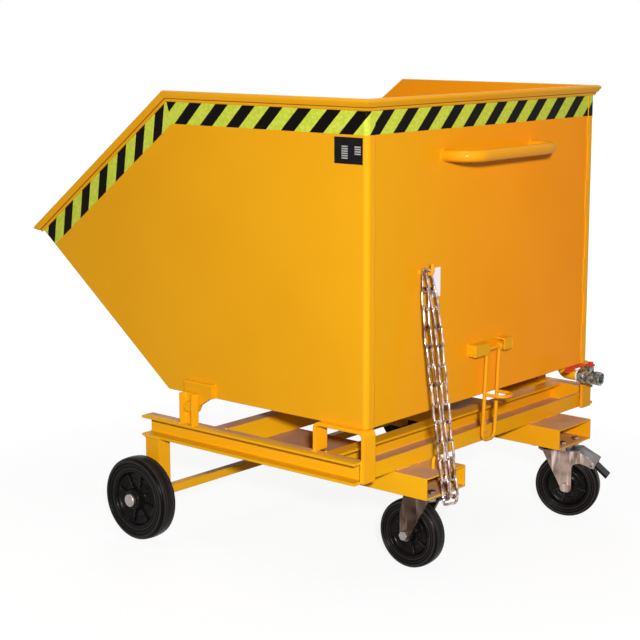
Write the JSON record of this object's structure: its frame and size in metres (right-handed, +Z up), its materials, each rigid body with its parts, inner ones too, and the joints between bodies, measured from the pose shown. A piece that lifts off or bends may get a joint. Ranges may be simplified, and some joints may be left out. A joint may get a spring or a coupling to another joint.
{
  "type": "tipping box trolley",
  "caption": "Sheet steel tipping box on a channel frame with fork pockets, fixed front wheels, swivel castors, push handle, latch, safety chain and drain valve.",
  "frame": {"origin": "on the ground, at the centre of the overall outline", "axes": "+Z up, +X toward the push handle and castors, +Y toward the drain valve side"},
  "size_m": [1.234, 1.135, 1.06],
  "materials": {
    "yellow_paint": "satin yellow-orange enamel, dusty on upward faces",
    "zinc": "bright zinc plate",
    "tyre_rubber": "solid black rubber",
    "black_plastic": "moulded black nylon",
    "striped_tape": "glossy film with slanted black stripes",
    "black_plate": "blank black film plate",
    "white_card": "blank white card",
    "white_seal": "white fluoropolymer",
    "nickel": "nickel plated brass",
    "red_lever": "red plastic-dipped steel"
  },
  "bodies": {
    "chassis": {"side_rail_left": "yellow_paint", "side_rail_right": "yellow_paint", "front_cross_channel": "yellow_paint", "rear_cross_channel": "yellow_paint", "rear_bar": "yellow_paint", "fork_pocket_left": "yellow_paint", "fork_pocket_right": "yellow_paint", "pivot_posts": "yellow_paint", "pivot_bolts": "zinc", "rest_brackets": "yellow_paint", "front_legs": "yellow_paint", "axle_beam": "yellow_paint", "axle_stubs": "zinc", "axle_fittings": "zinc", "castor_left_plate": "zinc", "castor_right_plate": "zinc", "castor_bolts": "zinc", "latch_tongue": "yellow_paint", "chain_eye": "yellow_paint"},
    "box": {"side_panel_left": "yellow_paint", "side_panel_right": "yellow_paint", "rear_wall": "yellow_paint", "floor_sheet": "yellow_paint", "rim_sides": "yellow_paint", "rim_ends": "yellow_paint", "hazard_tape": "striped_tape", "type_plate": "black_plate", "tag": "white_card", "push_handle": "yellow_paint", "pivot_lugs": "yellow_paint", "latch_bracket": "yellow_paint", "latch_pin": "yellow_paint", "drain_elbow": "yellow_paint", "valve_body": "nickel", "valve_seals": "white_seal", "chain_hook": "yellow_paint", "chain_upper": "zinc"},
    "latch": {"latch_bail": "yellow_paint"},
    "valve": {"valve_ball": "nickel", "valve_stem": "nickel", "valve_lever": "red_lever"},
    "chain_end": {"chain_lower": "zinc"},
    "wheel_left": {"wheel_left_tyre": "tyre_rubber", "wheel_left_rim": "black_plastic", "wheel_left_bush": "zinc"},
    "wheel_right": {"wheel_right_tyre": "tyre_rubber", "wheel_right_rim": "black_plastic", "wheel_right_bush": "zinc"},
    "castor_left": {"castor_left_fork": "zinc", "castor_left_axle": "zinc"},
    "castor_right": {"castor_right_fork": "zinc", "castor_right_axle": "zinc", "brake_cover": "zinc"},
    "castor_left_wheel": {"castor_left_tyre": "tyre_rubber", "castor_left_rim": "black_plastic"},
    "castor_right_wheel": {"castor_right_tyre": "tyre_rubber", "castor_right_rim": "black_plastic"},
    "pedal": {"brake_pedal": "black_plastic"}
  },
  "joints": [
    {"name": "box_tip", "type": "hinge", "parent": "chassis", "child": "box", "pos_m": [-0.05483, 0, 0.332], "axis": [0, -1, 0], "range_deg": [0, 40]},
    {"name": "latch_swing", "type": "hinge", "parent": "box", "child": "latch", "pos_m": [0.46717, 0, 0.464], "axis": [0, -1, 0], "range_deg": [-4, 70]},
    {"name": "valve_turn", "type": "hinge", "parent": "box", "child": "valve", "pos_m": [0.51017, 0.38, 0.334], "axis": [0, 0, 1], "range_deg": [0, 90]},
    {"name": "chain_hang", "type": "hinge", "parent": "box", "child": "chain_end", "pos_m": [0.53407, -0.28015, 0.35701], "axis": [-0.0197, -0.995, 0.0974], "range_deg": [-36, 0]},
    {"name": "wheel_left_roll", "type": "hinge", "parent": "chassis", "child": "wheel_left", "pos_m": [-0.17083, -0.528, 0.1], "axis": [0, 1, 0], "continuous": true},
    {"name": "wheel_right_roll", "type": "hinge", "parent": "chassis", "child": "wheel_right", "pos_m": [-0.17083, 0.528, 0.1], "axis": [0, 1, 0], "continuous": true},
    {"name": "castor_left_swivel", "type": "hinge", "parent": "chassis", "child": "castor_left", "pos_m": [0.48117, -0.2685, 0.171], "axis": [0, 0, 1], "continuous": true},
    {"name": "castor_right_swivel", "type": "hinge", "parent": "chassis", "child": "castor_right", "pos_m": [0.48117, 0.2685, 0.171], "axis": [0, 0, 1], "continuous": true},
    {"name": "castor_left_roll", "type": "hinge", "parent": "castor_left", "child": "castor_left_wheel", "pos_m": [0.44619, -0.26966, 0.08], "axis": [0.0332, -0.9995, 0], "continuous": true},
    {"name": "castor_right_roll", "type": "hinge", "parent": "castor_right", "child": "castor_right_wheel", "pos_m": [0.51418, 0.28013, 0.08], "axis": [-0.3322, 0.9432, 0], "continuous": true},
    {"name": "brake_press", "type": "hinge", "parent": "castor_right", "child": "pedal", "pos_m": [0.57455, 0.30138, 0.141], "axis": [-0.3322, 0.9432, 0], "range_deg": [0, 14]}
  ],
  "couplings": [
    {"joint": "chain_hang", "follows": "box_tip", "ratio": -0.9}
  ]
}
